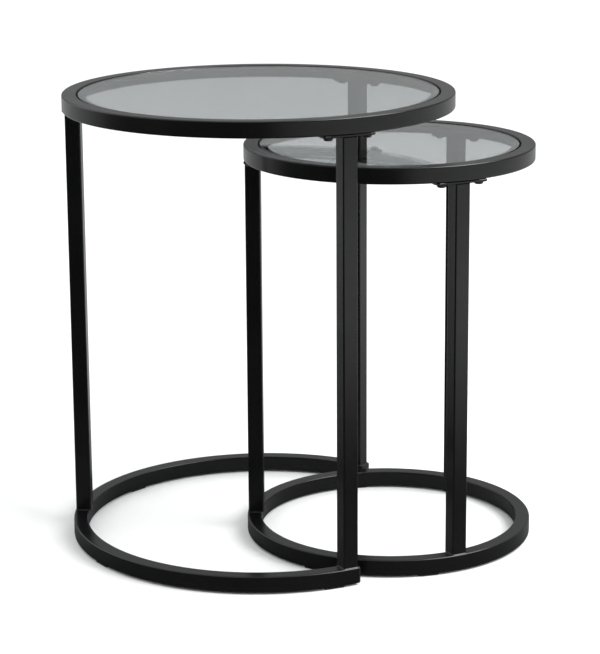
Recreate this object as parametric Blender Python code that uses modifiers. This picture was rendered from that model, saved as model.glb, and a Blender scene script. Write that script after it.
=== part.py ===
"""Nesting tables: two round steel tables with glass tops, the smaller one drawn part-way out.

Each table has a square-tube ring that holds a recessed glass disc, three square-tube legs
bolted up into that ring through small plates, and a ring on the floor. The large table's
floor ring is open on one side, so that the small table slides under its top.
Metres, +Z up, floor at Z = 0, the small table slides along X.
"""

import math

import bmesh
import bpy
from mathutils import Matrix, Vector

# Overall sizes
LARGE_RADIUS = 0.250
LARGE_HEIGHT = 0.585
SMALL_RADIUS = 0.186
SMALL_HEIGHT = 0.519
DRAWN_OUT = 0.166

# Tube rings
RING_STEPS = 48
RING_WIDTH = 0.0185
RING_HEIGHT = 0.0205
TUBE_WALL = 0.0015
TUBE_CORNER = 0.0015

# Legs, with their angles about the table's axis
LEG_ANGLES = (180, -60, 60)
LEG_WIDTH = 0.020
LEG_INSET = 0.0015
OPEN_HALF_ANGLE = 57.6

# Leg plates and their bolts
PLATE_LENGTH = 0.069
PLATE_WIDTH = 0.0165
PLATE_THICKNESS = 0.003
PLATE_INSET = 0.002
BOLT_OFFSET = 0.026
BOLT_SHANK_RADIUS = 0.0029
BOLT_SHANK_LENGTH = 0.014
BOLT_HEAD_RADIUS = 0.006
BOLT_HEAD_HEIGHT = 0.0033
HEAD_FLAT_SHARE = 0.6
HEAD_DOME_SHARE = 0.45
PLATE_HOLE_RADIUS = 0.0034
NUT_RADIUS = 0.0045
NUT_BORE_RADIUS = 0.0033
NUT_LENGTH = 0.011
NUT_HOLE_RADIUS = 0.0049
BOLT_STEPS = 10
CUT_DEPTH = 0.009

# Glass, its ledge and its bumpers
GLASS_RECESS = 0.0008
GLASS_THICKNESS = 0.005
GLASS_EDGE_GAP = 0.002
GLASS_ARRIS = 0.0006
LEDGE_WIDTH = 0.012
LEDGE_THICKNESS = 0.003
BUMPER_RADIUS = 0.004
BUMPER_THICKNESS = 0.0007
BUMPER_ANGLES = (0, 120, 240)
BUMPER_STEPS = 12

# Floor pads, end caps and drain holes
PAD_LENGTH = 0.026
PAD_WIDTH = 0.015
PAD_THICKNESS = 0.0025
PAD_EDGE = 0.0005
LARGE_PAD_ANGLES = (65, 142, -142, -65)
SMALL_PAD_ANGLES = (60, 105, -120, -73)
CAP_THICKNESS = 0.002
PLUG_LENGTH = 0.008
PLUG_PLAY = 0.0006
DRAIN_RADIUS = 0.002
DRAIN_STEPS = 8
DRAIN_CUT_DEPTH = 0.006
DRAIN_ANGLES = (0, 180)

# Gap left between pieces that touch
GAP = 0.0003
SHARP_ANGLE = math.radians(40)
MERGE_DISTANCE = 0.00005

SPAN = LARGE_RADIUS + DRAWN_OUT + SMALL_RADIUS
LARGE_X = LARGE_RADIUS - SPAN / 2
SMALL_X = SPAN / 2 - SMALL_RADIUS


def clear_scene():
    for thing in list(bpy.data.objects):
        bpy.data.objects.remove(thing, do_unlink=True)


def make_collection(name):
    collection = bpy.data.collections.new(name)
    bpy.context.scene.collection.children.link(collection)
    return collection


def make_material(name, color, roughness, metallic=0.0, transmission=0.0):
    material = bpy.data.materials.new(name)
    material.use_nodes = True
    shader = material.node_tree.nodes["Principled BSDF"]
    shader.inputs["Base Color"].default_value = (*color, 1.0)
    shader.inputs["Roughness"].default_value = roughness
    shader.inputs["Metallic"].default_value = metallic
    shader.inputs["Transmission Weight"].default_value = transmission
    return material


def make_materials():
    return {
        "steel": make_material("black_steel", (0.020, 0.020, 0.021), 0.34),
        "glass": make_material("smoked_glass", (0.62, 0.66, 0.66), 0.04, transmission=0.9),
        "bolt": make_material("black_bolt", (0.016, 0.016, 0.017), 0.40, metallic=0.6),
        "nut": make_material("zinc_steel", (0.55, 0.55, 0.56), 0.35, metallic=1.0),
        "rubber": make_material("black_rubber", (0.018, 0.018, 0.018), 0.75),
        "bumper": make_material("clear_bumper", (0.80, 0.82, 0.82), 0.25),
        "plastic": make_material("black_plastic", (0.022, 0.022, 0.022), 0.48),
    }


def polar(radius, degrees, z=0.0):
    angle = math.radians(degrees)
    return Vector((radius * math.cos(angle), radius * math.sin(angle), z))


def rounded_rectangle(width, height, corner):
    """Outline centred on the origin, with one chamfer across each corner."""
    half_w, half_h = width / 2, height / 2
    corners = ((1, 1), (-1, 1), (-1, -1), (1, -1))
    points = []
    for turn, (sx, sy) in enumerate(corners):
        pair = [(sx * half_w, sy * (half_h - corner)), (sx * (half_w - corner), sy * half_h)]
        points += pair if turn % 2 == 0 else pair[::-1]
    return points


def mesh_object(name, mesh, collection, material=None):
    body = bpy.data.objects.new(name, mesh)
    collection.objects.link(body)
    if material:
        mesh.materials.append(material)
    return body


def turned(name, loops, steps, collection, material=None, closed=True):
    """Turn profiles of (radius, z) about Z: outer sides run down, and a hollow's run up."""
    profile = bmesh.new()
    for loop in loops:
        verts = [profile.verts.new((r, 0.0, z)) for r, z in loop]
        for first, second in zip(verts, verts[1:]):
            profile.edges.new((first, second))
        if closed:
            profile.edges.new((verts[-1], verts[0]))
    mesh = bpy.data.meshes.new(name)
    profile.to_mesh(mesh)
    profile.free()
    body = mesh_object(name, mesh, collection, material)
    screw = body.modifiers.new("turn", "SCREW")
    screw.steps = steps
    screw.render_steps = steps
    screw.use_merge_vertices = True
    screw.merge_threshold = MERGE_DISTANCE
    screw.use_normal_calculate = False
    return body


def flat_outline(name, outlines, thickness, collection, material=None):
    """Extrude flat outlines along Z, centred on Z = 0; a second outline makes a hole."""
    curve = bpy.data.curves.new(name, "CURVE")
    curve.dimensions = "2D"
    curve.fill_mode = "BOTH"
    curve.extrude = thickness / 2
    for outline in outlines:
        spline = curve.splines.new("POLY")
        spline.points.add(len(outline) - 1)
        spline.use_cyclic_u = True
        for point, (x, y) in zip(spline.points, outline):
            point.co = (x, y, 0.0, 1.0)
    body = bpy.data.objects.new(name, curve)
    collection.objects.link(body)
    if material:
        curve.materials.append(material)
    return body


def as_mesh(body, collection):
    """Swap a curve object for a welded mesh of the same name and place."""
    bpy.context.view_layer.update()
    graph = bpy.context.evaluated_depsgraph_get()
    mesh = bpy.data.meshes.new_from_object(body.evaluated_get(graph))
    welded = bmesh.new()
    welded.from_mesh(mesh)
    bmesh.ops.remove_doubles(welded, verts=welded.verts, dist=MERGE_DISTANCE)
    bmesh.ops.recalc_face_normals(welded, faces=welded.faces)
    welded.to_mesh(mesh)
    welded.free()
    name, place = body.name, body.matrix_world.copy()
    bpy.data.objects.remove(body, do_unlink=True)
    solid = bpy.data.objects.new(name, mesh)
    collection.objects.link(solid)
    solid.matrix_world = place
    return solid


def box(name, size, collection, material=None):
    mesh = bpy.data.meshes.new(name)
    cube = bmesh.new()
    bmesh.ops.create_cube(cube, size=1.0)
    bmesh.ops.scale(cube, vec=Vector(size), verts=cube.verts)
    cube.to_mesh(mesh)
    cube.free()
    return mesh_object(name, mesh, collection, material)


def cylinder(name, radius, height, steps, collection, material=None):
    mesh = bpy.data.meshes.new(name)
    round_bar = bmesh.new()
    bmesh.ops.create_cone(
        round_bar, cap_ends=True, segments=steps, radius1=radius, radius2=radius, depth=height)
    round_bar.to_mesh(mesh)
    round_bar.free()
    mesh.shade_smooth()
    mesh.set_sharp_from_angle(angle=SHARP_ANGLE)
    return mesh_object(name, mesh, collection, material)


def boolean(body, other, operation):
    modifier = body.modifiers.new(operation.lower(), "BOOLEAN")
    modifier.operation = operation
    modifier.solver = "EXACT"
    modifier.object = other
    other.hide_render = True
    other.display_type = "WIRE"


def bevel(body, width):
    modifier = body.modifiers.new("edges", "BEVEL")
    modifier.width = width
    modifier.segments = 1
    modifier.limit_method = "ANGLE"
    modifier.angle_limit = SHARP_ANGLE


def place(body, parent, location, degrees=0.0):
    body.parent = parent
    body.location = location
    body.rotation_euler = (0.0, 0.0, math.radians(degrees))


def tube_ring(name, radius, bottom, collection, material):
    """A hollow ring of rectangular tube, with its outer wall at the radius."""
    middle, height = radius - RING_WIDTH / 2, bottom + RING_HEIGHT / 2
    outer = rounded_rectangle(RING_WIDTH, RING_HEIGHT, TUBE_CORNER)[::-1]
    half_w = RING_WIDTH / 2 - TUBE_WALL
    half_h = RING_HEIGHT / 2 - TUBE_WALL
    inner = [(half_w, -half_h), (half_w, half_h), (-half_w, half_h), (-half_w, -half_h)]
    loops = [[(middle + x, height + z) for x, z in loop] for loop in (outer, inner)]
    return turned(name, loops, RING_STEPS, collection, material)


def bolt_places(radius, degrees):
    """The two bolts of a leg plate, either side of the leg."""
    turn = Matrix.Rotation(math.radians(degrees), 4, "Z")
    middle = radius - RING_WIDTH / 2
    return [turn @ Vector((middle, side * BOLT_OFFSET, 0.0)) for side in (-1, 1)]


def build_top(prefix, radius, height, empty, parts, cutters, materials):
    """Top ring, glass ledge, bumpers and glass."""
    ring_bottom = height - RING_HEIGHT
    ring = tube_ring(f"{prefix}_top_ring", radius, ring_bottom, parts, materials["steel"])
    ring.parent = empty
    for leg, degrees in enumerate(LEG_ANGLES):
        for side, spot in enumerate(bolt_places(radius, degrees)):
            hole = cylinder(f"cut_{prefix}_nut_{leg}_{side}", NUT_HOLE_RADIUS, CUT_DEPTH,
                            BOLT_STEPS, cutters)
            place(hole, empty, spot + Vector((0, 0, ring_bottom)), degrees)
            boolean(ring, hole, "DIFFERENCE")

    glass_top = height - GLASS_RECESS
    ledge_top = glass_top - GLASS_THICKNESS - BUMPER_THICKNESS - 2 * GAP
    ledge_outer = radius - RING_WIDTH - GAP
    ledge_bottom = ledge_top - LEDGE_THICKNESS
    ledge_inner = ledge_outer - LEDGE_WIDTH
    section = [(ledge_outer, ledge_top), (ledge_outer, ledge_bottom),
               (ledge_inner, ledge_bottom), (ledge_inner, ledge_top)]
    ledge = turned(f"{prefix}_glass_ledge", [section], RING_STEPS, parts, materials["steel"])
    ledge.parent = empty

    for index, degrees in enumerate(BUMPER_ANGLES, start=1):
        bumper = cylinder(f"{prefix}_bumper_{index}", BUMPER_RADIUS, BUMPER_THICKNESS,
                          BUMPER_STEPS, parts, materials["bumper"])
        middle = polar(ledge_outer - LEDGE_WIDTH / 2, degrees)
        place(bumper, empty, middle + Vector((0, 0, ledge_top + GAP + BUMPER_THICKNESS / 2)))

    glass_radius = radius - RING_WIDTH - GLASS_EDGE_GAP
    glass = cylinder(f"{prefix}_glass", glass_radius, GLASS_THICKNESS, RING_STEPS,
                     parts, materials["glass"])
    bevel(glass, GLASS_ARRIS)
    place(glass, empty, (0, 0, glass_top - GLASS_THICKNESS / 2))


def build_leg(prefix, index, degrees, radius, height, empty, parts, cutters, materials):
    """One leg from the floor ring up to its plate, with the plate, bolts and nuts."""
    ring_bottom = height - RING_HEIGHT
    plate_top = ring_bottom - GAP
    plate_bottom = plate_top - PLATE_THICKNESS
    leg_bottom = PAD_THICKNESS + RING_HEIGHT + GAP
    leg_length = plate_bottom - GAP - leg_bottom

    bore = LEG_WIDTH - 2 * TUBE_WALL
    outer = rounded_rectangle(LEG_WIDTH, LEG_WIDTH, TUBE_CORNER)
    inner = [(bore / 2, bore / 2), (-bore / 2, bore / 2), (-bore / 2, -bore / 2), (bore / 2, -bore / 2)]
    leg = flat_outline(f"{prefix}_leg_{index}", [outer, inner], leg_length, parts, materials["steel"])
    leg_middle = polar(radius - LEG_INSET - LEG_WIDTH / 2, degrees, leg_bottom + leg_length / 2)
    place(leg, empty, leg_middle, degrees)

    plate = box(f"{prefix}_leg_plate_{index}", (PLATE_WIDTH, PLATE_LENGTH, PLATE_THICKNESS),
                parts, materials["steel"])
    plate_middle = polar(radius - PLATE_INSET - PLATE_WIDTH / 2, degrees)
    place(plate, empty, plate_middle + Vector((0, 0, plate_top - PLATE_THICKNESS / 2)), degrees)

    shank_top = BOLT_HEAD_HEIGHT + BOLT_SHANK_LENGTH
    dome = BOLT_HEAD_HEIGHT * HEAD_DOME_SHARE
    profile = [(0.0, shank_top), (BOLT_SHANK_RADIUS, shank_top),
               (BOLT_SHANK_RADIUS, BOLT_HEAD_HEIGHT), (BOLT_HEAD_RADIUS, BOLT_HEAD_HEIGHT),
               (BOLT_HEAD_RADIUS, dome), (BOLT_HEAD_RADIUS * HEAD_FLAT_SHARE, 0.0), (0.0, 0.0)]
    sleeve = [(NUT_RADIUS, NUT_LENGTH), (NUT_RADIUS, 0.0),
              (NUT_BORE_RADIUS, 0.0), (NUT_BORE_RADIUS, NUT_LENGTH)]
    for side, spot in enumerate(bolt_places(radius, degrees)):
        tag = f"{index}{'ab'[side]}"
        hole = cylinder(f"cut_{prefix}_plate_{tag}", PLATE_HOLE_RADIUS, CUT_DEPTH,
                        BOLT_STEPS, cutters)
        place(hole, empty, spot + Vector((0, 0, plate_bottom)), degrees)
        boolean(plate, hole, "DIFFERENCE")
        bolt = turned(f"{prefix}_bolt_{tag}", [profile], BOLT_STEPS, parts,
                      materials["bolt"], closed=False)
        head_bottom = plate_bottom - GAP - BOLT_HEAD_HEIGHT
        place(bolt, empty, spot + Vector((0, 0, head_bottom)), degrees)
        nut = turned(f"{prefix}_rivet_nut_{tag}", [sleeve], BOLT_STEPS, parts,
                     materials["nut"])
        place(nut, empty, spot + Vector((0, 0, ring_bottom)), degrees)


def build_pads(prefix, radius, angles, empty, parts, materials):
    height = PAD_THICKNESS - GAP
    for index, degrees in enumerate(angles, start=1):
        pad = box(f"{prefix}_pad_{index}", (PAD_WIDTH, PAD_LENGTH, height), parts, materials["rubber"])
        bevel(pad, PAD_EDGE)
        place(pad, empty, polar(radius - RING_WIDTH / 2, degrees, height / 2), degrees)


def build_open_ring(prefix, radius, empty, parts, cutters, materials):
    """The large table's floor ring, open between two legs, with a cap in each end."""
    ring = tube_ring(f"{prefix}_base_ring", radius, PAD_THICKNESS, parts, materials["steel"])
    ring.parent = empty
    tips = [polar(2 * radius, side * OPEN_HALF_ANGLE) for side in (-1, 1)]
    far_x = 2 * radius
    wedge = [(0.0, 0.0), tips[0].xy, (far_x, tips[0].y), (far_x, tips[1].y), tips[1].xy]
    opening = flat_outline(f"cut_{prefix}_opening", [wedge], 4 * RING_HEIGHT, cutters)
    opening.parent = empty
    opening = as_mesh(opening, cutters)
    boolean(ring, opening, "DIFFERENCE")

    plug_size = (RING_WIDTH - 2 * TUBE_WALL - 2 * PLUG_PLAY, PLUG_LENGTH,
                 RING_HEIGHT - 2 * TUBE_WALL - 2 * PLUG_PLAY)
    middle_radius = radius - RING_WIDTH / 2
    for index, side in enumerate((-1, 1), start=1):
        outline = rounded_rectangle(RING_WIDTH, RING_HEIGHT, TUBE_CORNER)
        cap = flat_outline(f"{prefix}_end_cap_{index}", [outline], CAP_THICKNESS, parts)
        cap = as_mesh(cap, parts)
        cap.data.materials.append(materials["plastic"])
        end = polar(middle_radius, side * OPEN_HALF_ANGLE, PAD_THICKNESS + RING_HEIGHT / 2)
        along = polar(1.0, side * OPEN_HALF_ANGLE - side * 90)
        cap.parent = empty
        cap.location = end + along * (CAP_THICKNESS / 2 + GAP)
        cap.rotation_euler = (math.radians(90), 0.0, math.radians(side * OPEN_HALF_ANGLE))
        plug = box(f"cut_{prefix}_plug_{index}", plug_size, cutters)
        place(plug, empty, end - along * (PLUG_LENGTH / 2 - CAP_THICKNESS / 2),
              side * OPEN_HALF_ANGLE)
        boolean(cap, plug, "UNION")


def build_closed_ring(prefix, radius, empty, parts, cutters, materials):
    """The small table's floor ring, with drain holes in its underside."""
    ring = tube_ring(f"{prefix}_base_ring", radius, PAD_THICKNESS, parts, materials["steel"])
    ring.parent = empty
    for index, degrees in enumerate(DRAIN_ANGLES):
        drain = cylinder(f"cut_{prefix}_drain_{index}", DRAIN_RADIUS, DRAIN_CUT_DEPTH,
                         DRAIN_STEPS, cutters)
        place(drain, empty, polar(radius - RING_WIDTH / 2, degrees, PAD_THICKNESS), degrees)
        boolean(ring, drain, "DIFFERENCE")


def build_table(prefix, x, radius, height, pad_angles, parts, cutters, materials):
    empty = bpy.data.objects.new(f"{prefix}_table_axis", None)
    empty.location = (x, 0.0, 0.0)
    parts.objects.link(empty)
    build_top(prefix, radius, height, empty, parts, cutters, materials)
    for index, degrees in enumerate(LEG_ANGLES, start=1):
        build_leg(prefix, index, degrees, radius, height, empty, parts, cutters, materials)
    build_pads(prefix, radius, pad_angles, empty, parts, materials)
    return empty


def main():
    clear_scene()
    parts = make_collection("nesting_tables")
    cutters = make_collection("cutters")
    materials = make_materials()
    large = build_table("large", LARGE_X, LARGE_RADIUS, LARGE_HEIGHT, LARGE_PAD_ANGLES,
                        parts, cutters, materials)
    build_open_ring("large", LARGE_RADIUS, large, parts, cutters, materials)
    small = build_table("small", SMALL_X, SMALL_RADIUS, SMALL_HEIGHT, SMALL_PAD_ANGLES,
                        parts, cutters, materials)
    build_closed_ring("small", SMALL_RADIUS, small, parts, cutters, materials)


main()
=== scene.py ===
"""Looks of the nesting tables: fine meshes, powder-coated steel, smoked glass, studio light."""

import math

import bmesh
import bpy
from mathutils import Matrix, Vector


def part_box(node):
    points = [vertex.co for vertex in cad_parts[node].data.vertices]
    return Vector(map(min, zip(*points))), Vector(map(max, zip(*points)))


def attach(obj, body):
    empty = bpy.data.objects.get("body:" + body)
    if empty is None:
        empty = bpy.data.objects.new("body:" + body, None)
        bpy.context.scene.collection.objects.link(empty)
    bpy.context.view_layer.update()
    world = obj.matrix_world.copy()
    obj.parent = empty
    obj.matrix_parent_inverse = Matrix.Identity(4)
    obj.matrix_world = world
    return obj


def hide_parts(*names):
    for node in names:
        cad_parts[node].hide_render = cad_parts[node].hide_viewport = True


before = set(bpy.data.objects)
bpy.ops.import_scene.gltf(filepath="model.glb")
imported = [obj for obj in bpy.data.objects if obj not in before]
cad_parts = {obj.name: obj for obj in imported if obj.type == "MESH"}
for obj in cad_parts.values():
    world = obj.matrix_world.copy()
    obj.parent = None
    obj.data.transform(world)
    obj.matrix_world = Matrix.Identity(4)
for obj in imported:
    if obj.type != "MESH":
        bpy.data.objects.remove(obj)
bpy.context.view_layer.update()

# Tube rings, ledge and end caps, metres and degrees
GAP = 0.0003
TUBE_CORNER = 0.0018
LEDGE_WIDTH = 0.012
LEDGE_CORNER = 0.0005
CAP_THICKNESS = 0.002
CAP_LEVELS = ((GAP, 0.0), (CAP_THICKNESS * 0.6, 0.0), (CAP_THICKNESS * 0.9, 0.0003),
              (CAP_THICKNESS + GAP * 0.5, 0.0008))
OPEN_HALF_ANGLE = 57.6

# Glass and its bumpers
GLASS_ARRIS = 0.0009
ARRIS_STEPS = 4
BUMPER_STEPS = 32
BUMPER_SHAPE = ((1.0, 0.35), (0.9, 0.75), (0.7, 1.0))

# Legs, leg plates and weld beads
LEG_ANGLES = (180, -60, 60)
LEG_WIDTH = 0.020
LEG_CORNER = 0.0019
LEG_INSET = 0.0015
PLATE_CORNER = 0.002
PLATE_EDGE = 0.0005
WELD_RADIUS = 0.0009
WELD_ROOT = -0.0004
WELD_SHAPE = ((WELD_ROOT, WELD_RADIUS), (0.0, WELD_RADIUS * 0.85),
              (WELD_RADIUS * 0.25, WELD_RADIUS * 0.35), (WELD_RADIUS * 0.6, 0.0), (WELD_ROOT, 0.0))
WELD_SHARP = 60

# Button-head bolts
HEAD_RADIUS = 0.0058
HEAD_HEIGHT = 0.0033
HEAD_DOME = 0.72
HEAD_STEPS = 6
SHANK_RADIUS = 0.0029
SHANK_CHAMFER = 0.0005
SOCKET_RADIUS = 0.0023
SOCKET_DEPTH = 0.0018
SOCKET_FLOOR = 0.995
SOCKET_BREAK = 0.0001
SOCKET_LIP = 0.0002
BOLT_STEPS = 36
BOLT_SHARP = 40

# Floor pads
PAD_WIDTH = 0.0148
PAD_LENGTH = 0.0258
PAD_CORNER = 0.0015
PAD_EDGE = 0.0004

# Mesh detail
RING_STEPS = 240
CORNER_STEPS = 5
SMALL_CORNER_STEPS = 4
LEDGE_CORNER_STEPS = 2
SUPPORT = 0.0004
SHARP_ANGLE = 32
MERGE_DISTANCE = 0.000002
BUMP_DISTANCE = 0.0002

# Studio: strength of the world and floor, and the dimmer room that reflections see
WORLD_WHITE = 1.08
WORLD_COLOR = (0.985, 1.0, 1.0, 1.0)
FLOOR_SIZE = 6.0
FLOOR_NEAR = 0.84
FLOOR_FAR = 0.97
GLASS_SHADOW = (0.62, 0.64, 0.64, 1.0)

# Camera, solved from the outlines in the photo
FRAME_HEIGHT = 654.0
SENSOR_WIDTH = 36.0
CAMERA_FOCAL = 2238.5
CAMERA_PLACE = (0.1600, -2.8183, 1.0024)
CAMERA_YAW = -0.0552
CAMERA_PITCH = 0.2301
CAMERA_ROLL = 0.0063
CAMERA_SHIFT = -50.0 / FRAME_HEIGHT
CAMERA_REACH = 50.0


# ---------------------------------------------------------------- mesh helpers

def polar(radius, degrees, z=0.0):
    angle = math.radians(degrees)
    return Vector((radius * math.cos(angle), radius * math.sin(angle), z))


def rounded_rectangle(width, height, corner, steps=CORNER_STEPS):
    """Closed outline centred on the origin, with round corners, anticlockwise."""
    points = []
    for turn, (sx, sy) in enumerate(((1, 1), (-1, 1), (-1, -1), (1, -1))):
        centre = Vector((sx * (width / 2 - corner), sy * (height / 2 - corner)))
        arc = []
        for step in range(steps + 1):
            angle = math.radians(90 * (turn + step / steps))
            arc.append(centre + corner * Vector((math.cos(angle), math.sin(angle))))
        # A point on each flat beside the arc keeps the flat's shading flat
        start, end = math.radians(90 * turn), math.radians(90 * turn + 90)
        arc.insert(0, arc[0] - Vector((-math.sin(start), math.cos(start))) * SUPPORT)
        arc.append(arc[-1] + Vector((-math.sin(end), math.cos(end))) * SUPPORT)
        points += [(point.x, point.y) for point in arc]
    return points


def finish_mesh(name, mesh_data, material, sharp_degrees=SHARP_ANGLE):
    bmesh.ops.remove_doubles(mesh_data, verts=mesh_data.verts, dist=MERGE_DISTANCE)
    bmesh.ops.recalc_face_normals(mesh_data, faces=mesh_data.faces)
    mesh = bpy.data.meshes.new(name)
    mesh_data.to_mesh(mesh)
    mesh_data.free()
    mesh.shade_smooth()
    mesh.set_sharp_from_angle(angle=math.radians(sharp_degrees))
    mesh.materials.append(material)
    piece = bpy.data.objects.new(name, mesh)
    bpy.context.scene.collection.objects.link(piece)
    return piece


def skin(mesh_data, rows, ring_closed, row_closed=True):
    """Join rows of vertices with quads; rows is a list of vertex lists of equal length."""
    count = len(rows[0])
    last = len(rows) if ring_closed else len(rows) - 1
    for i in range(last):
        here, there = rows[i], rows[(i + 1) % len(rows)]
        for j in range(count if row_closed else count - 1):
            k = (j + 1) % count
            mesh_data.faces.new((here[j], here[k], there[k], there[j]))


def swept_ring(name, centre, outline, middle_radius, middle_z, material, arc=(0.0, 360.0)):
    """Sweep an outline of (radial, z) offsets about a vertical axis, all round or along an arc."""
    whole = abs(arc[1] - arc[0]) >= 359.99
    steps = max(2, round(RING_STEPS * abs(arc[1] - arc[0]) / 360))
    angles = [arc[0] + (arc[1] - arc[0]) * i / steps for i in range(steps if whole else steps + 1)]
    mesh_data = bmesh.new()
    rows = []
    for degrees in angles:
        row = []
        for x, z in outline:
            row.append(mesh_data.verts.new(centre + polar(middle_radius + x, degrees, middle_z + z)))
        rows.append(row)
    skin(mesh_data, rows, whole)
    if not whole:
        mesh_data.faces.new(rows[0])
        mesh_data.faces.new(rows[-1][::-1])
    return finish_mesh(name, mesh_data, material)


def turned(name, place, profile, steps, material):
    """Turn an open profile of (radius, z), which starts and ends on the axis."""
    mesh_data = bmesh.new()
    rows = []
    for i in range(steps):
        degrees = 360 * i / steps
        rows.append([mesh_data.verts.new(place + polar(r, degrees, z)) for r, z in profile])
    skin(mesh_data, rows, True, row_closed=False)
    return finish_mesh(name, mesh_data, material)


def prism(name, outline, low, high, place, degrees, material, edge=0.0):
    """Extrude an outline from low to high, with a small chamfer on both rims, then turn and place it."""
    turn = Matrix.Translation(place) @ Matrix.Rotation(math.radians(degrees), 4, "Z")
    mesh_data = bmesh.new()
    if edge:
        levels = [(low, edge), (low + edge, 0.0), (high - edge, 0.0), (high, edge)]
    else:
        levels = [(low, 0.0), (high, 0.0)]
    rows = []
    reach_x = max(abs(x) for x, _ in outline)
    reach_y = max(abs(y) for _, y in outline)
    for z, inset in levels:
        sx, sy = 1 - inset / reach_x, 1 - inset / reach_y
        rows.append([mesh_data.verts.new(turn @ Vector((x * sx, y * sy, z))) for x, y in outline])
    skin(mesh_data, rows, False)
    mesh_data.faces.new(rows[0][::-1])
    mesh_data.faces.new(rows[-1])
    return finish_mesh(name, mesh_data, material)


# ------------------------------------------------------------------ materials

def new_material(name, roughness, specular=0.5, metallic=0.0):
    material = bpy.data.materials.new(name)
    material.use_nodes = True
    shader = material.node_tree.nodes["Principled BSDF"]
    shader.inputs["Roughness"].default_value = roughness
    shader.inputs["Specular IOR Level"].default_value = specular
    shader.inputs["Metallic"].default_value = metallic
    return material, material.node_tree, shader


def noise(tree, scale, detail=4.0):
    """Noise in the object's own metres."""
    place = tree.nodes.new("ShaderNodeTexCoord")
    texture = tree.nodes.new("ShaderNodeTexNoise")
    texture.inputs["Scale"].default_value = scale
    texture.inputs["Detail"].default_value = detail
    tree.links.new(place.outputs["Object"], texture.inputs["Vector"])
    return texture.outputs["Fac"]


def ramp(tree, source, low, high, first=0.3, last=0.7):
    """Map a noise value to a colour, between two stops."""
    node = tree.nodes.new("ShaderNodeValToRGB")
    node.color_ramp.elements[0].position = first
    node.color_ramp.elements[1].position = last
    node.color_ramp.elements[0].color = (*low, 1.0)
    node.color_ramp.elements[1].color = (*high, 1.0)
    tree.links.new(source, node.inputs["Fac"])
    return node.outputs["Color"]


def spread(tree, source, low, high, first=0.3, last=0.7):
    """Map a noise value to a plain number, between two limits."""
    node = tree.nodes.new("ShaderNodeMapRange")
    node.inputs["From Min"].default_value = first
    node.inputs["From Max"].default_value = last
    node.inputs["To Min"].default_value = low
    node.inputs["To Max"].default_value = high
    tree.links.new(source, node.inputs["Value"])
    return node.outputs["Result"]


def bump(tree, shader, height, strength):
    node = tree.nodes.new("ShaderNodeBump")
    node.inputs["Strength"].default_value = strength
    node.inputs["Distance"].default_value = BUMP_DISTANCE
    tree.links.new(height, node.inputs["Height"])
    tree.links.new(node.outputs["Normal"], shader.inputs["Normal"])


def powder_coat(name, low, high, rough_low, rough_high):
    """Semi-gloss powder coat: a fine orange peel, faint cloudiness and slightly varied gloss."""
    material, tree, shader = new_material(name, rough_low)
    cloud = noise(tree, 9.0, 3.0)
    tree.links.new(ramp(tree, cloud, low, high), shader.inputs["Base Color"])
    gloss = noise(tree, 45.0, 5.0)
    tree.links.new(spread(tree, gloss, rough_low, rough_high), shader.inputs["Roughness"])
    peel = noise(tree, 420.0, 1.0)
    bump(tree, shader, peel, 0.035)
    return material


def smoked_glass(name):
    """Smoke-tinted float glass; light from lamps passes it with its tint."""
    material, tree, shader = new_material(name, 0.0)
    shader.inputs["Transmission Weight"].default_value = 1.0
    shader.inputs["IOR"].default_value = 1.5
    smudge = noise(tree, 5.0, 3.0)
    tint = ramp(tree, smudge, (0.446, 0.472, 0.474), (0.462, 0.488, 0.490))
    tree.links.new(tint, shader.inputs["Base Color"])
    haze = noise(tree, 16.0, 4.0)
    tree.links.new(spread(tree, haze, 0.0, 0.002, 0.45, 0.8), shader.inputs["Roughness"])
    output = tree.nodes["Material Output"]
    clear = tree.nodes.new("ShaderNodeBsdfTransparent")
    clear.inputs["Color"].default_value = GLASS_SHADOW
    path = tree.nodes.new("ShaderNodeLightPath")
    mix = tree.nodes.new("ShaderNodeMixShader")
    tree.links.new(path.outputs["Is Shadow Ray"], mix.inputs["Fac"])
    tree.links.new(shader.outputs["BSDF"], mix.inputs[1])
    tree.links.new(clear.outputs["BSDF"], mix.inputs[2])
    tree.links.new(mix.outputs["Shader"], output.inputs["Surface"])
    return material


def mottled(name, low, high, rough_low, rough_high, grain_scale, bump_strength,
            specular=0.5, metallic=0.0):
    """A plain matt or metal surface with fine grain."""
    material, tree, shader = new_material(name, rough_low, specular, metallic)
    grain = noise(tree, grain_scale)
    tree.links.new(ramp(tree, grain, low, high), shader.inputs["Base Color"])
    tree.links.new(spread(tree, grain, rough_low, rough_high), shader.inputs["Roughness"])
    bump(tree, shader, grain, bump_strength)
    return material


def make_materials():
    return {
        "steel": powder_coat("powder_coat", (0.0020, 0.0020, 0.0022),
                             (0.0034, 0.0034, 0.0036), 0.20, 0.25),
        "ledge": powder_coat("ledge_coat", (0.0045, 0.0045, 0.0047),
                             (0.0070, 0.0070, 0.0072), 0.34, 0.42),
        "glass": smoked_glass("smoked_float_glass"),
        "bolt": mottled("black_oxide", (0.010, 0.010, 0.011), (0.018, 0.018, 0.019),
                        0.30, 0.42, 900.0, 0.15, metallic=0.3),
        "nut": mottled("zinc_plate", (0.42, 0.42, 0.43), (0.55, 0.55, 0.56),
                       0.28, 0.42, 700.0, 0.12, metallic=1.0),
        "rubber": mottled("pad_rubber", (0.010, 0.010, 0.010), (0.020, 0.020, 0.020),
                          0.70, 0.86, 1400.0, 0.4, specular=0.3),
        "bumper": mottled("clear_bumper", (0.60, 0.62, 0.62), (0.70, 0.72, 0.72),
                          0.12, 0.22, 500.0, 0.05),
        "plastic": mottled("cap_plastic", (0.011, 0.011, 0.011), (0.017, 0.017, 0.017),
                           0.36, 0.46, 1100.0, 0.22),
    }


# -------------------------------------------------------------- the two tables

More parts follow.
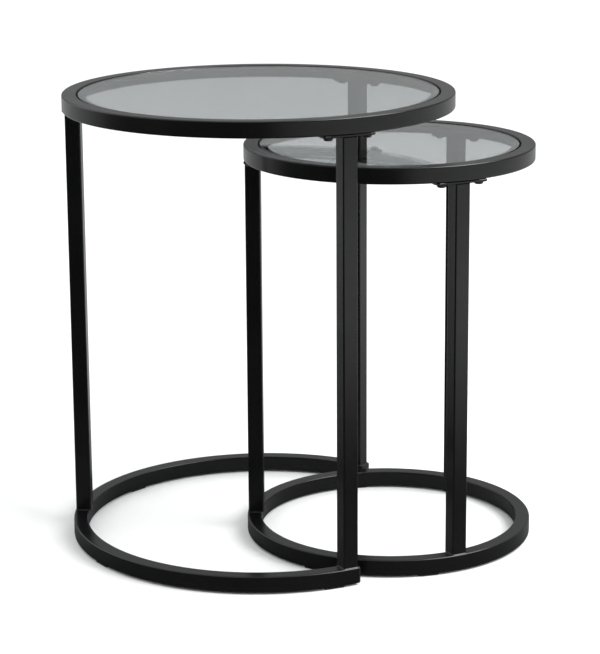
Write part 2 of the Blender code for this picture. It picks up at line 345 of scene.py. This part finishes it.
def settle(piece, body, slot, *nodes):
    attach(piece, body)
    if nodes:
        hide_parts(*nodes)


def measure(prefix):
    """Read one table's driving sizes off its CAD nodes."""
    ring_low, ring_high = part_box(f"{prefix}_top_ring")
    ledge_low, ledge_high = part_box(f"{prefix}_glass_ledge")
    glass_low, glass_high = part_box(f"{prefix}_glass")
    base_low, base_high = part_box(f"{prefix}_base_ring")
    plate_low, plate_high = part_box(f"{prefix}_leg_plate_1")
    radius = (ring_high.y - ring_low.y) / 2
    return {
        "centre": Vector(((ring_high.x + ring_low.x) / 2, 0.0, 0.0)),
        "radius": radius,
        "ring_low": ring_low.z, "ring_high": ring_high.z,
        "width": radius - (ledge_high.y - ledge_low.y) / 2 - GAP,
        "ledge_radius": (ledge_high.y - ledge_low.y) / 2,
        "ledge_low": ledge_low.z, "ledge_high": ledge_high.z,
        "glass_radius": (glass_high.y - glass_low.y) / 2,
        "glass_low": glass_low.z, "glass_high": glass_high.z,
        "base_low": base_low.z, "base_high": base_high.z,
        "plate_low": plate_low.z, "plate_high": plate_high.z,
        "plate_width": plate_high.x - plate_low.x,
        "plate_length": plate_high.y - plate_low.y,
        "plate_inset": plate_low.x - ring_low.x,
    }


def build_glass(prefix, size, materials):
    """The disc, with a ground and polished pencil edge."""
    flat, low, high = size["glass_radius"] - GLASS_ARRIS, size["glass_low"], size["glass_high"]
    profile = [(0.0, low), (flat - SUPPORT, low), (flat, low)]
    for step in range(1, ARRIS_STEPS + 1):
        angle = math.radians(90 * step / ARRIS_STEPS)
        profile.append((flat + GLASS_ARRIS * math.sin(angle),
                        low + GLASS_ARRIS - GLASS_ARRIS * math.cos(angle)))
    for step in range(ARRIS_STEPS + 1):
        angle = math.radians(90 * step / ARRIS_STEPS)
        profile.append((flat + GLASS_ARRIS * math.cos(angle),
                        high - GLASS_ARRIS + GLASS_ARRIS * math.sin(angle)))
    profile += [(flat - SUPPORT, high), (0.0, high)]
    glass = turned(f"{prefix}_glass_disc", size["centre"], profile, RING_STEPS, materials["glass"])
    settle(glass, f"{prefix}_table", "smoked_glass", f"{prefix}_glass")


def build_top(prefix, size, materials):
    body = f"{prefix}_table"
    height = size["ring_high"] - size["ring_low"]
    outline = rounded_rectangle(size["width"], height, TUBE_CORNER)
    ring = swept_ring(f"{prefix}_top_tube", size["centre"], outline,
                      size["radius"] - size["width"] / 2,
                      (size["ring_high"] + size["ring_low"]) / 2, materials["steel"])
    settle(ring, body, "black_steel", f"{prefix}_top_ring")

    ledge_height = size["ledge_high"] - size["ledge_low"]
    outline = rounded_rectangle(LEDGE_WIDTH, ledge_height, LEDGE_CORNER, LEDGE_CORNER_STEPS)
    ledge = swept_ring(f"{prefix}_ledge_strip", size["centre"], outline,
                       size["ledge_radius"] - LEDGE_WIDTH / 2,
                       (size["ledge_high"] + size["ledge_low"]) / 2, materials["ledge"])
    settle(ledge, body, "black_steel", f"{prefix}_glass_ledge")
    build_glass(prefix, size, materials)

    for index in (1, 2, 3):
        low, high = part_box(f"{prefix}_bumper_{index}")
        radius, rise = (high.x - low.x) / 2, high.z - low.z
        profile = [(0.0, low.z), (radius, low.z)]
        profile += [(radius * across, low.z + rise * up) for across, up in BUMPER_SHAPE]
        profile.append((0.0, high.z))
        middle = Vector(((low.x + high.x) / 2, (low.y + high.y) / 2, 0.0))
        bumper = turned(f"{prefix}_clear_bumper_{index}", middle, profile, BUMPER_STEPS,
                        materials["bumper"])
        settle(bumper, body, "clear_bumper", f"{prefix}_bumper_{index}")


def weld_bead(prefix, index, size, degrees, top, materials):
    """A small fillet bead round the foot of the leg, or round its head under the plate."""
    half = LEG_WIDTH / 2
    outline = rounded_rectangle(LEG_WIDTH, LEG_WIDTH, LEG_CORNER, SMALL_CORNER_STEPS)
    centre = size["centre"] + polar(size["radius"] - LEG_INSET - half, degrees)
    turn = Matrix.Translation(centre) @ Matrix.Rotation(math.radians(degrees), 4, "Z")
    base = size["plate_low"] if top else size["base_high"]
    sign = -1 if top else 1
    mesh_data = bmesh.new()
    rows = []
    for out, up in WELD_SHAPE:
        row = []
        wider = 1 + out / half
        for x, y in outline:
            # The bead stays inside the line of the ring's outer wall
            point = Vector((min(x * wider, half + LEG_INSET), y * wider, base + sign * up))
            row.append(mesh_data.verts.new(turn @ point))
        rows.append(row)
    skin(mesh_data, rows, True)
    where = "head" if top else "foot"
    bead = finish_mesh(f"{prefix}_weld_{where}_{index}", mesh_data, materials["steel"],
                       WELD_SHARP)
    settle(bead, f"{prefix}_table", "black_steel")


def build_legs(prefix, size, materials):
    body = f"{prefix}_table"
    for index, degrees in enumerate(LEG_ANGLES, start=1):
        low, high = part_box(f"{prefix}_leg_{index}")
        outline = rounded_rectangle(LEG_WIDTH, LEG_WIDTH, LEG_CORNER)
        middle = size["centre"] + polar(size["radius"] - LEG_INSET - LEG_WIDTH / 2, degrees)
        leg = prism(f"{prefix}_leg_tube_{index}", outline, low.z, high.z, middle, degrees,
                    materials["steel"])
        settle(leg, body, "black_steel", f"{prefix}_leg_{index}")

        outline = rounded_rectangle(size["plate_width"], size["plate_length"], PLATE_CORNER,
                                    SMALL_CORNER_STEPS)
        middle = size["centre"] + polar(
            size["radius"] - size["plate_inset"] - size["plate_width"] / 2, degrees)
        plate = prism(f"{prefix}_plate_{index}", outline, size["plate_low"], size["plate_high"],
                      middle, degrees, materials["steel"], PLATE_EDGE)
        settle(plate, body, "black_steel", f"{prefix}_leg_plate_{index}")
        weld_bead(prefix, index, size, degrees, True, materials)
        weld_bead(prefix, index, size, degrees, False, materials)


def build_bolt(prefix, tag, materials):
    """Button head with a hex socket, and a plain shank up into the ring."""
    low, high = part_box(f"{prefix}_bolt_{tag}")
    centre = Vector(((low.x + high.x) / 2, (low.y + high.y) / 2, 0.0))
    head_top = low.z + HEAD_HEIGHT
    mesh_data = bmesh.new()
    rim = []
    for i in range(BOLT_STEPS):
        degrees = 360 * i / BOLT_STEPS
        from_flat = (degrees + 30) % 60 - 30
        hexagon = SOCKET_RADIUS / math.cos(math.radians(from_flat))
        lip = hexagon + SOCKET_LIP
        profile = [(0.0, low.z + SOCKET_DEPTH), (hexagon * SOCKET_FLOOR, low.z + SOCKET_DEPTH),
                   (hexagon, low.z + SOCKET_BREAK), (lip, low.z)]
        for step in range(1, HEAD_STEPS + 1):
            lean = math.radians(90 * step / HEAD_STEPS)
            profile.append((lip + (HEAD_RADIUS - lip) * math.sin(lean),
                            low.z + HEAD_HEIGHT * HEAD_DOME * (1 - math.cos(lean))))
        profile += [(HEAD_RADIUS, head_top), (SHANK_RADIUS, head_top),
                    (SHANK_RADIUS, high.z - SHANK_CHAMFER), (SHANK_RADIUS - SHANK_CHAMFER, high.z),
                    (0.0, high.z)]
        rim.append([mesh_data.verts.new(centre + polar(r, degrees, z)) for r, z in profile])
    skin(mesh_data, rim, True, row_closed=False)
    bolt = finish_mesh(f"{prefix}_button_bolt_{tag}", mesh_data, materials["bolt"], BOLT_SHARP)
    settle(bolt, f"{prefix}_table", "black_bolt", f"{prefix}_bolt_{tag}")


def build_base(prefix, size, is_open, materials):
    body = f"{prefix}_table"
    height = size["base_high"] - size["base_low"]
    outline = rounded_rectangle(size["width"], height, TUBE_CORNER)
    middle_radius = size["radius"] - size["width"] / 2
    middle_z = (size["base_high"] + size["base_low"]) / 2
    arc = (OPEN_HALF_ANGLE, 360 - OPEN_HALF_ANGLE) if is_open else (0.0, 360.0)
    ring = swept_ring(f"{prefix}_floor_tube", size["centre"], outline, middle_radius, middle_z,
                      materials["steel"], arc)
    settle(ring, body, "black_steel", f"{prefix}_base_ring")
    if not is_open:
        return
    for index, side in enumerate((-1, 1), start=1):
        end = size["centre"] + polar(middle_radius, side * OPEN_HALF_ANGLE, middle_z)
        along = polar(1.0, side * (OPEN_HALF_ANGLE - 90))
        outward = polar(1.0, side * OPEN_HALF_ANGLE)
        mesh_data = bmesh.new()
        rows = []
        for reach, inset in CAP_LEVELS:
            sx = 1 - inset / (size["width"] / 2)
            sz = 1 - inset / (height / 2)
            level = end + along * reach
            rows.append([mesh_data.verts.new(level + outward * x * sx + Vector((0, 0, z * sz)))
                         for x, z in outline])
        skin(mesh_data, rows, False)
        mesh_data.faces.new(rows[0])
        mesh_data.faces.new(rows[-1][::-1])
        cap = finish_mesh(f"{prefix}_cap_{index}", mesh_data, materials["plastic"])
        settle(cap, body, "black_plastic", f"{prefix}_end_cap_{index}")


def build_pads(prefix, size, materials):
    for index in (1, 2, 3, 4):
        low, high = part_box(f"{prefix}_pad_{index}")
        middle = Vector(((low.x + high.x) / 2, (low.y + high.y) / 2, 0.0))
        across = middle - size["centre"]
        degrees = math.degrees(math.atan2(across.y, across.x))
        outline = rounded_rectangle(PAD_WIDTH, PAD_LENGTH, PAD_CORNER, SMALL_CORNER_STEPS)
        pad = prism(f"{prefix}_rubber_pad_{index}", outline, low.z, high.z, middle, degrees,
                    materials["rubber"], PAD_EDGE)
        settle(pad, f"{prefix}_table", "black_rubber", f"{prefix}_pad_{index}")


def build_table(prefix, is_open, materials):
    size = measure(prefix)
    build_top(prefix, size, materials)
    build_legs(prefix, size, materials)
    for index in (1, 2, 3):
        for side in "ab":
            build_bolt(prefix, f"{index}{side}", materials)
            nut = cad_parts[f"{prefix}_rivet_nut_{index}{side}"]
            nut.data.materials.clear()
            nut.data.materials.append(materials["nut"])
    build_base(prefix, size, is_open, materials)
    build_pads(prefix, size, materials)


# --------------------------------------------------------- floor, light, camera

def mirrored_share(tree):
    """1 for what is seen mirrored in a surface, 0 for what is seen straight or through glass."""
    path = tree.nodes.new("ShaderNodeLightPath")
    share = tree.nodes.new("ShaderNodeMath")
    share.operation = "SUBTRACT"
    share.use_clamp = True
    tree.links.new(path.outputs["Is Glossy Ray"], share.inputs[0])
    tree.links.new(path.outputs["Is Transmission Ray"], share.inputs[1])
    return share.outputs["Value"]


def smooth_step(tree, source, start, end, low, high):
    node = tree.nodes.new("ShaderNodeMapRange")
    node.interpolation_type = "SMOOTHSTEP"
    node.inputs["From Min"].default_value = start
    node.inputs["From Max"].default_value = end
    node.inputs["To Min"].default_value = low
    node.inputs["To Max"].default_value = high
    tree.links.new(source, node.inputs["Value"])
    return node.outputs["Result"]


def join_values(tree, operation, first, second):
    node = tree.nodes.new("ShaderNodeMath")
    node.operation = operation
    tree.links.new(first, node.inputs[0])
    tree.links.new(second, node.inputs[1])
    return node.outputs["Value"]


def build_floor():
    mesh_data = bmesh.new()
    bmesh.ops.create_grid(mesh_data, x_segments=1, y_segments=1, size=FLOOR_SIZE)
    mesh = bpy.data.meshes.new("floor")
    mesh_data.to_mesh(mesh)
    mesh_data.free()
    floor = bpy.data.objects.new("floor", mesh)
    bpy.context.scene.collection.objects.link(floor)
    material = bpy.data.materials.new("pale_floor")
    material.use_nodes = True
    tree = material.node_tree
    shader = tree.nodes["Principled BSDF"]
    shader.inputs["Roughness"].default_value = 1.0
    shader.inputs["Specular IOR Level"].default_value = 0.0
    place = tree.nodes.new("ShaderNodeTexCoord")
    parts = tree.nodes.new("ShaderNodeSeparateXYZ")
    tree.links.new(place.outputs["Object"], parts.inputs["Vector"])
    # Painted reflection: glossy rays see this floor as a dim room, brighter to the right and behind,
    # while camera rays and rays through glass see it pale. Seen straight, its tone rises from FLOOR_NEAR
    # near the tables to FLOOR_FAR far off.
    right = smooth_step(tree, parts.outputs["X"], 0.35, 1.3, 0.015, 0.42)
    behind = smooth_step(tree, parts.outputs["Y"], -0.7, 1.3, 0.015, 0.44)
    mirrored = join_values(tree, "MAXIMUM", right, behind)
    reach = tree.nodes.new("ShaderNodeVectorMath")
    reach.operation = "LENGTH"
    tree.links.new(place.outputs["Object"], reach.inputs[0])
    seen = smooth_step(tree, reach.outputs["Value"], 0.8, 3.0, FLOOR_NEAR, FLOOR_FAR)
    tint = tree.nodes.new("ShaderNodeMix")
    tint.data_type = "FLOAT"
    tree.links.new(seen, tint.inputs["A"])
    tree.links.new(mirrored_share(tree), tint.inputs["Factor"])
    tree.links.new(mirrored, tint.inputs["B"])
    tree.links.new(tint.outputs["Result"], shader.inputs["Base Color"])
    mesh.materials.append(material)


def area_light(name, place, target, size, energy):
    light = bpy.data.lights.new(name, "AREA")
    light.shape = "RECTANGLE"
    light.size, light.size_y = size
    light.energy = energy
    lamp = bpy.data.objects.new(name, light)
    lamp.location = place
    lamp.rotation_euler = (Vector(target) - Vector(place)).to_track_quat("-Z", "Y").to_euler()
    bpy.context.scene.collection.objects.link(lamp)


def build_world():
    """White behind the object; its reflections see a dim room, brighter to the left and behind."""
    world = bpy.data.worlds.new("studio")
    bpy.context.scene.world = world
    world.use_nodes = True
    tree = world.node_tree
    background = tree.nodes["Background"]
    place = tree.nodes.new("ShaderNodeTexCoord")
    parts = tree.nodes.new("ShaderNodeSeparateXYZ")
    tree.links.new(place.outputs["Generated"], parts.inputs["Vector"])
    depth = smooth_step(tree, parts.outputs["Y"], -0.5, 0.6, 0.05, 0.32)
    left = smooth_step(tree, parts.outputs["X"], -0.35, -0.95, 0.0, 0.35)
    overhead = smooth_step(tree, parts.outputs["Z"], 0.35, 0.85, 0.0, 0.7)
    total = join_values(tree, "ADD", join_values(tree, "ADD", depth, left), overhead)
    choose = tree.nodes.new("ShaderNodeMix")
    choose.data_type = "FLOAT"
    choose.inputs["A"].default_value = WORLD_WHITE
    tree.links.new(mirrored_share(tree), choose.inputs["Factor"])
    tree.links.new(total, choose.inputs["B"])
    tree.links.new(choose.outputs["Result"], background.inputs["Strength"])
    background.inputs["Color"].default_value = WORLD_COLOR


def build_light():
    area_light("key_right", (1.9, -0.6, 2.2), (0.0, 0.0, 0.1), (2.0, 2.0), 95.0)
    area_light("fill_left", (-2.2, 0.9, 1.6), (0.0, 0.0, 0.3), (1.6, 1.6), 5.0)


def build_camera():
    camera = bpy.data.cameras.new("camera")
    camera.sensor_width = SENSOR_WIDTH
    camera.sensor_fit = "AUTO"
    camera.lens = CAMERA_FOCAL * SENSOR_WIDTH / FRAME_HEIGHT
    camera.shift_y = CAMERA_SHIFT
    camera.clip_end = CAMERA_REACH
    view = bpy.data.objects.new("camera", camera)
    view.location = CAMERA_PLACE
    view.rotation_euler = (math.pi / 2 - CAMERA_PITCH, CAMERA_ROLL, -CAMERA_YAW)
    bpy.context.scene.collection.objects.link(view)
    bpy.context.scene.camera = view


def main():
    materials = make_materials()
    build_table("large", True, materials)
    build_table("small", False, materials)
    build_floor()
    build_world()
    build_light()
    build_camera()
    bpy.context.scene.view_settings.view_transform = "Standard"


main()
